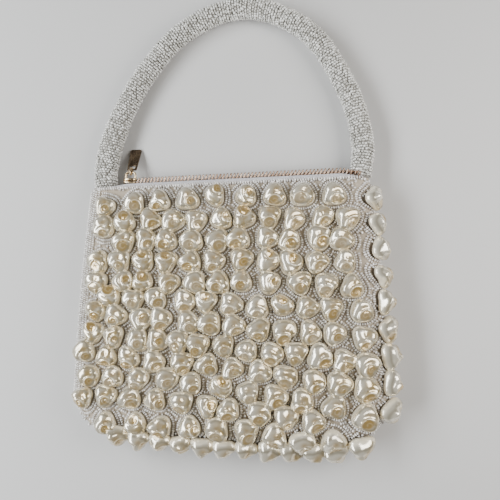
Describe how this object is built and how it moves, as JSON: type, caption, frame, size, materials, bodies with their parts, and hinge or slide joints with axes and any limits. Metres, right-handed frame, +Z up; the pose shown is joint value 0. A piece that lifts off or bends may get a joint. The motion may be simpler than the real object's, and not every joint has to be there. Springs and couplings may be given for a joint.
{
  "type": "beaded top-handle bag",
  "caption": "Soft flat top-handle bag lying on its back, its front covered in shell-shaped pearl nuggets, with a stuffed beaded tube handle and a zip across the mouth.",
  "frame": {"origin": "middle of the underside of the box round the part, on the surface it lies on", "axes": "+X across the bag to its right as seen from above, +Y from its bottom to its handle, +Z up out of its front"},
  "size_m": [0.2224, 0.3176, 0.0338],
  "materials": {
    "pearl_front": "cream pearl-finish nuggets among white seed beads",
    "back_cloth": "plain ivory woven cloth",
    "handle_beads": "opaque white seed beads sewn over a stuffed tube",
    "zip_tape": "pale lilac-white ribbed tape",
    "zip_teeth": "rose-gold teeth",
    "zip_metal": "pale gold, polished"
  },
  "bodies": {
    "root": {"front_panel": "pearl_front", "back_panel": "back_cloth", "handle": "handle_beads", "zip_tape_front": "zip_tape", "zip_tape_back": "zip_tape", "zip_chain": "zip_teeth", "zip_slider": "zip_metal"},
    "zip_pull": {"pull_link": "zip_metal", "pull_tab": "zip_metal"}
  },
  "joints": [
    {"name": "zip_pull_swing", "type": "hinge", "parent": "root", "child": "zip_pull", "pos_m": [-0.07152, 0.03551, 0.00972], "axis": [1, 0, 0], "range_deg": [-60, 130]}
  ]
}
